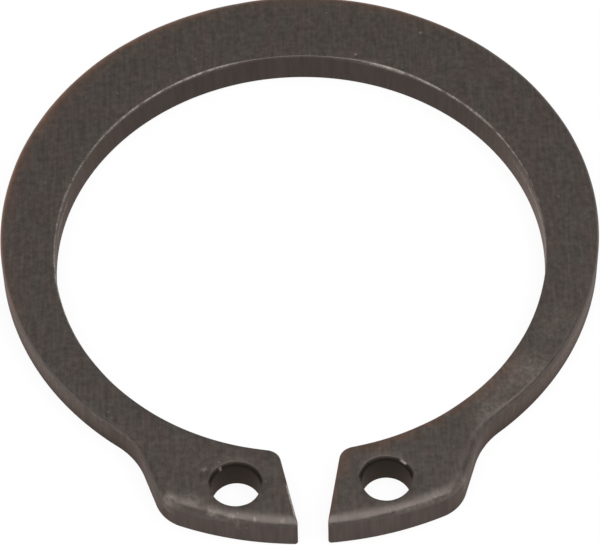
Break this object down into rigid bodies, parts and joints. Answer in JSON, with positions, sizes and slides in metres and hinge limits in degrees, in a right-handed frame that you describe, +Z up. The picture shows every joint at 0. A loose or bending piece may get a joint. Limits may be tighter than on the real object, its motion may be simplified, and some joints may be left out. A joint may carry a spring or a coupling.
{
  "type": "external retaining ring",
  "caption": "Flat spring-steel retaining ring with a tapered rim and two pierced lugs beside its gap, which snaps into a shaft groove to hold a part in place.",
  "frame": {"origin": "on the axis of the bore, on the underside that the ring lies on", "axes": "+Z up along the axis of the bore; the gap and the two lugs face -Y; X runs across the lugs, and the ring is alike on both sides of the YZ plane"},
  "size_m": [0.0202, 0.022, 0.0012],
  "materials": {
    "phosphated_spring_steel": "dark brown-black phosphate, oiled, satin, rubbed bright on some edges"
  },
  "bodies": {
    "root": {"retaining_ring": "phosphated_spring_steel"}
  },
  "joints": []
}
